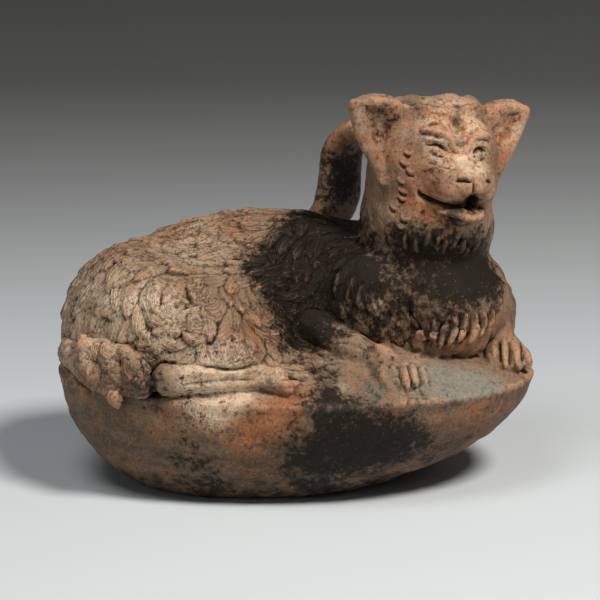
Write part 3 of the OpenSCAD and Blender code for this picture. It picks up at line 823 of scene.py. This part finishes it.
# the filling mouth and the pouring hole are opened through the skin
lip, spout_axis = np.array(mounts["filling_mouth"]["axis"]), np.array(fore)
off = co - np.array(mounts["filling_mouth"]["pos_m"])
above = off @ lip
from_lip = np.linalg.norm(off - above[:, None] * lip, axis=1)
crown_hole = (from_lip < fill_r + 1.2 * mm) & (above > -lip_half - 3 * mm)
off = co - np.array(spout)
ahead = off @ spout_axis
from_spout = np.linalg.norm(off - ahead[:, None] * spout_axis, axis=1)
spout_hole = (from_spout < spout_r + 0.1 * mm) & (ahead > -6 * mm)
face_owner[(crown_hole | spout_hole)[quads].any(1)] = -1
inward = base_up + lip * (3 * np.exp(-(from_lip / (16 * mm)) ** 4) * (above > -12 * mm))[:, None]
inward += spout_axis * (6 * np.exp(-(from_spout / (4 * mm)) ** 2) * (ahead > -6 * mm))[:, None]
inward /= np.linalg.norm(inward, axis=1)[:, None]
thick = wall + 5 * mm * np.exp(-(from_spout / (3.5 * mm)) ** 2) * (ahead > -6 * mm)
stained_by = {name: values.astype(np.float32) for name, values in [
    ("soot_and_shade", soot_and_shade), ("warm", warm), ("pale_and_highlight", pale_and_highlight), ("hollow", hollow), ("crest", crest),
    ("comb", comb / mm), ("combed", combed_here), ("dust", dust), ("recess_shade", recess_shade), ("worn", worn)]}
slot_of = {sub["node"]: sub["material_slot"] for sub in frame["record"]["subparts"]}
fired = {slot: clay_material(slot) for slot in sorted(set(slot_of.values()))}


def piece_of(name):
    """The clay of one solid as a closed piece of its own."""
    outer = quads[face_owner == owners.index(name)]
    kept, outer = np.unique(outer, return_inverse=True)
    outer = outer.reshape(-1, 4)
    edge = np.stack([outer, np.roll(outer, -1, axis=1)], axis=2).reshape(-1, 2)
    many = len(kept)
    rim = edge[~np.isin(edge[:, 0] * many + edge[:, 1], edge[:, 1] * many + edge[:, 0])]
    points = co[kept]
    bm = bmesh.new()
    if name in skin_nodes:
        inner = base[kept] - inward[kept] * thick[kept, None]
        faces = [*outer.tolist(), *(outer[:, ::-1] + many).tolist(),
                 *[(b, a, a + many, b + many) for a, b in rim.tolist()]]
        verts = np.vstack([points, inner])
    else:
        loop, back = np.unique(rim, return_inverse=True)
        back = back.reshape(-1, 2) + many
        verts = np.vstack([points, base[kept[loop]] - base_up[kept[loop]] * pressed_in * mm])
        faces = [*outer.tolist(), *[(b, a, c, d) for (a, b), (c, d) in zip(rim.tolist(), back.tolist())]]
    me = bpy.data.meshes.new(name)
    me.from_pydata(verts.tolist(), [], faces)
    bm.from_mesh(me)
    bm.verts.ensure_lookup_table()
    if name in skin_nodes:
        inside = [v for v in bm.verts[many:] if all(w.index >= many for e in v.link_edges for w in e.verts)]
        flat = set(inside)
        within = [e for e in bm.edges if e.verts[0] in flat and e.verts[1] in flat]
        bmesh.ops.dissolve_limit(bm, angle_limit=flat_within, verts=inside, edges=within)
    else:
        bmesh.ops.holes_fill(bm, edges=[e for e in bm.edges if e.is_boundary], sides=0)
    bmesh.ops.triangulate(bm, faces=[f for f in bm.faces if len(f.verts) > 4])
    # inside the wall, two faces folded flat on each other cancel out
    bm.verts.index_update()
    twins = {}
    for f in bm.faces:
        twins.setdefault(tuple(sorted(v.index for v in f.verts)), []).append(f)
    folded = [f for pair in twins.values() if len(pair) == 2 for f in pair]
    bmesh.ops.delete(bm, geom=folded, context="FACES")
    bm.to_mesh(me)
    bm.free()
    for key, values in stained_by.items():
        full = np.zeros(len(me.vertices), np.float32)
        full[:many] = values[kept]
        me.attributes.new(key, "FLOAT", "POINT").data.foreach_set("value", full)
    piece = bpy.data.objects.new(name + "_clay", me)
    scene.collection.objects.link(piece)
    me.shade_smooth()
    ends = np.empty(len(me.edges) * 2, np.int64)
    me.edges.foreach_get("vertices", ends)
    ends = ends.reshape(-1, 2)
    sharp = np.isin(ends.min(1) * 10 ** 7 + ends.max(1), rim.min(1) * 10 ** 7 + rim.max(1))
    attribute = me.attributes.get("sharp_edge") or me.attributes.new("sharp_edge", "BOOLEAN", "EDGE")
    attribute.data.foreach_set("value", sharp)
    me.materials.append(fired[slot_of[name]])
    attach(piece, "root")
    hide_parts(name)


for name in owners:
    piece_of(name)

# Filling mouth
# A low rolled lip of clay round the hole in the crown, through which the vessel is filled.
bm = bmesh.new()
bm.from_mesh(nodes["filling_rim"].data)
rolled = remeshed(bm, laid_fine)
ring = neighbours(rolled)
at = relax(points_of(rolled), ring, 25)
lumps = relax(dice.normal(0, 1, len(at)), ring, 30)
put_points(rolled, at)
put_points(rolled, at + normals_of(rolled) * (lumps / lumps.std() * 0.35 * mm + 0.5 * mm)[:, None])
rolled.name = "filling_rim"
form = relax(lumps, ring, 10)
spread = 2 * form.std()
# the rim's low spots get painted shade, its high spots the colour of wear
for key, values in [("soot_and_shade", soot_and_shade_at(at)), ("warm", warm_at(at)), ("pale_and_highlight", pale_and_highlight_at(at)),
                    ("worn", 0.5 * soft(form, 0, spread)), ("recess_shade", 0.8 * soft(-form, 0, spread))]:
    rolled.attributes.new(key, "FLOAT", "POINT").data.foreach_set("value", values.astype(np.float32))
rolled.materials.clear()
rolled.materials.append(fired[slot_of["filling_rim"]])
rolled.shade_smooth()
rim_piece = bpy.data.objects.new("filling_rim_clay", rolled)
scene.collection.objects.link(rim_piece)
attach(rim_piece, "root")
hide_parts("filling_rim")
bpy.data.objects.remove(whole)

size = {"cad": [list(c) for c in cad_box], "visual": [list(c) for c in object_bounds()]}
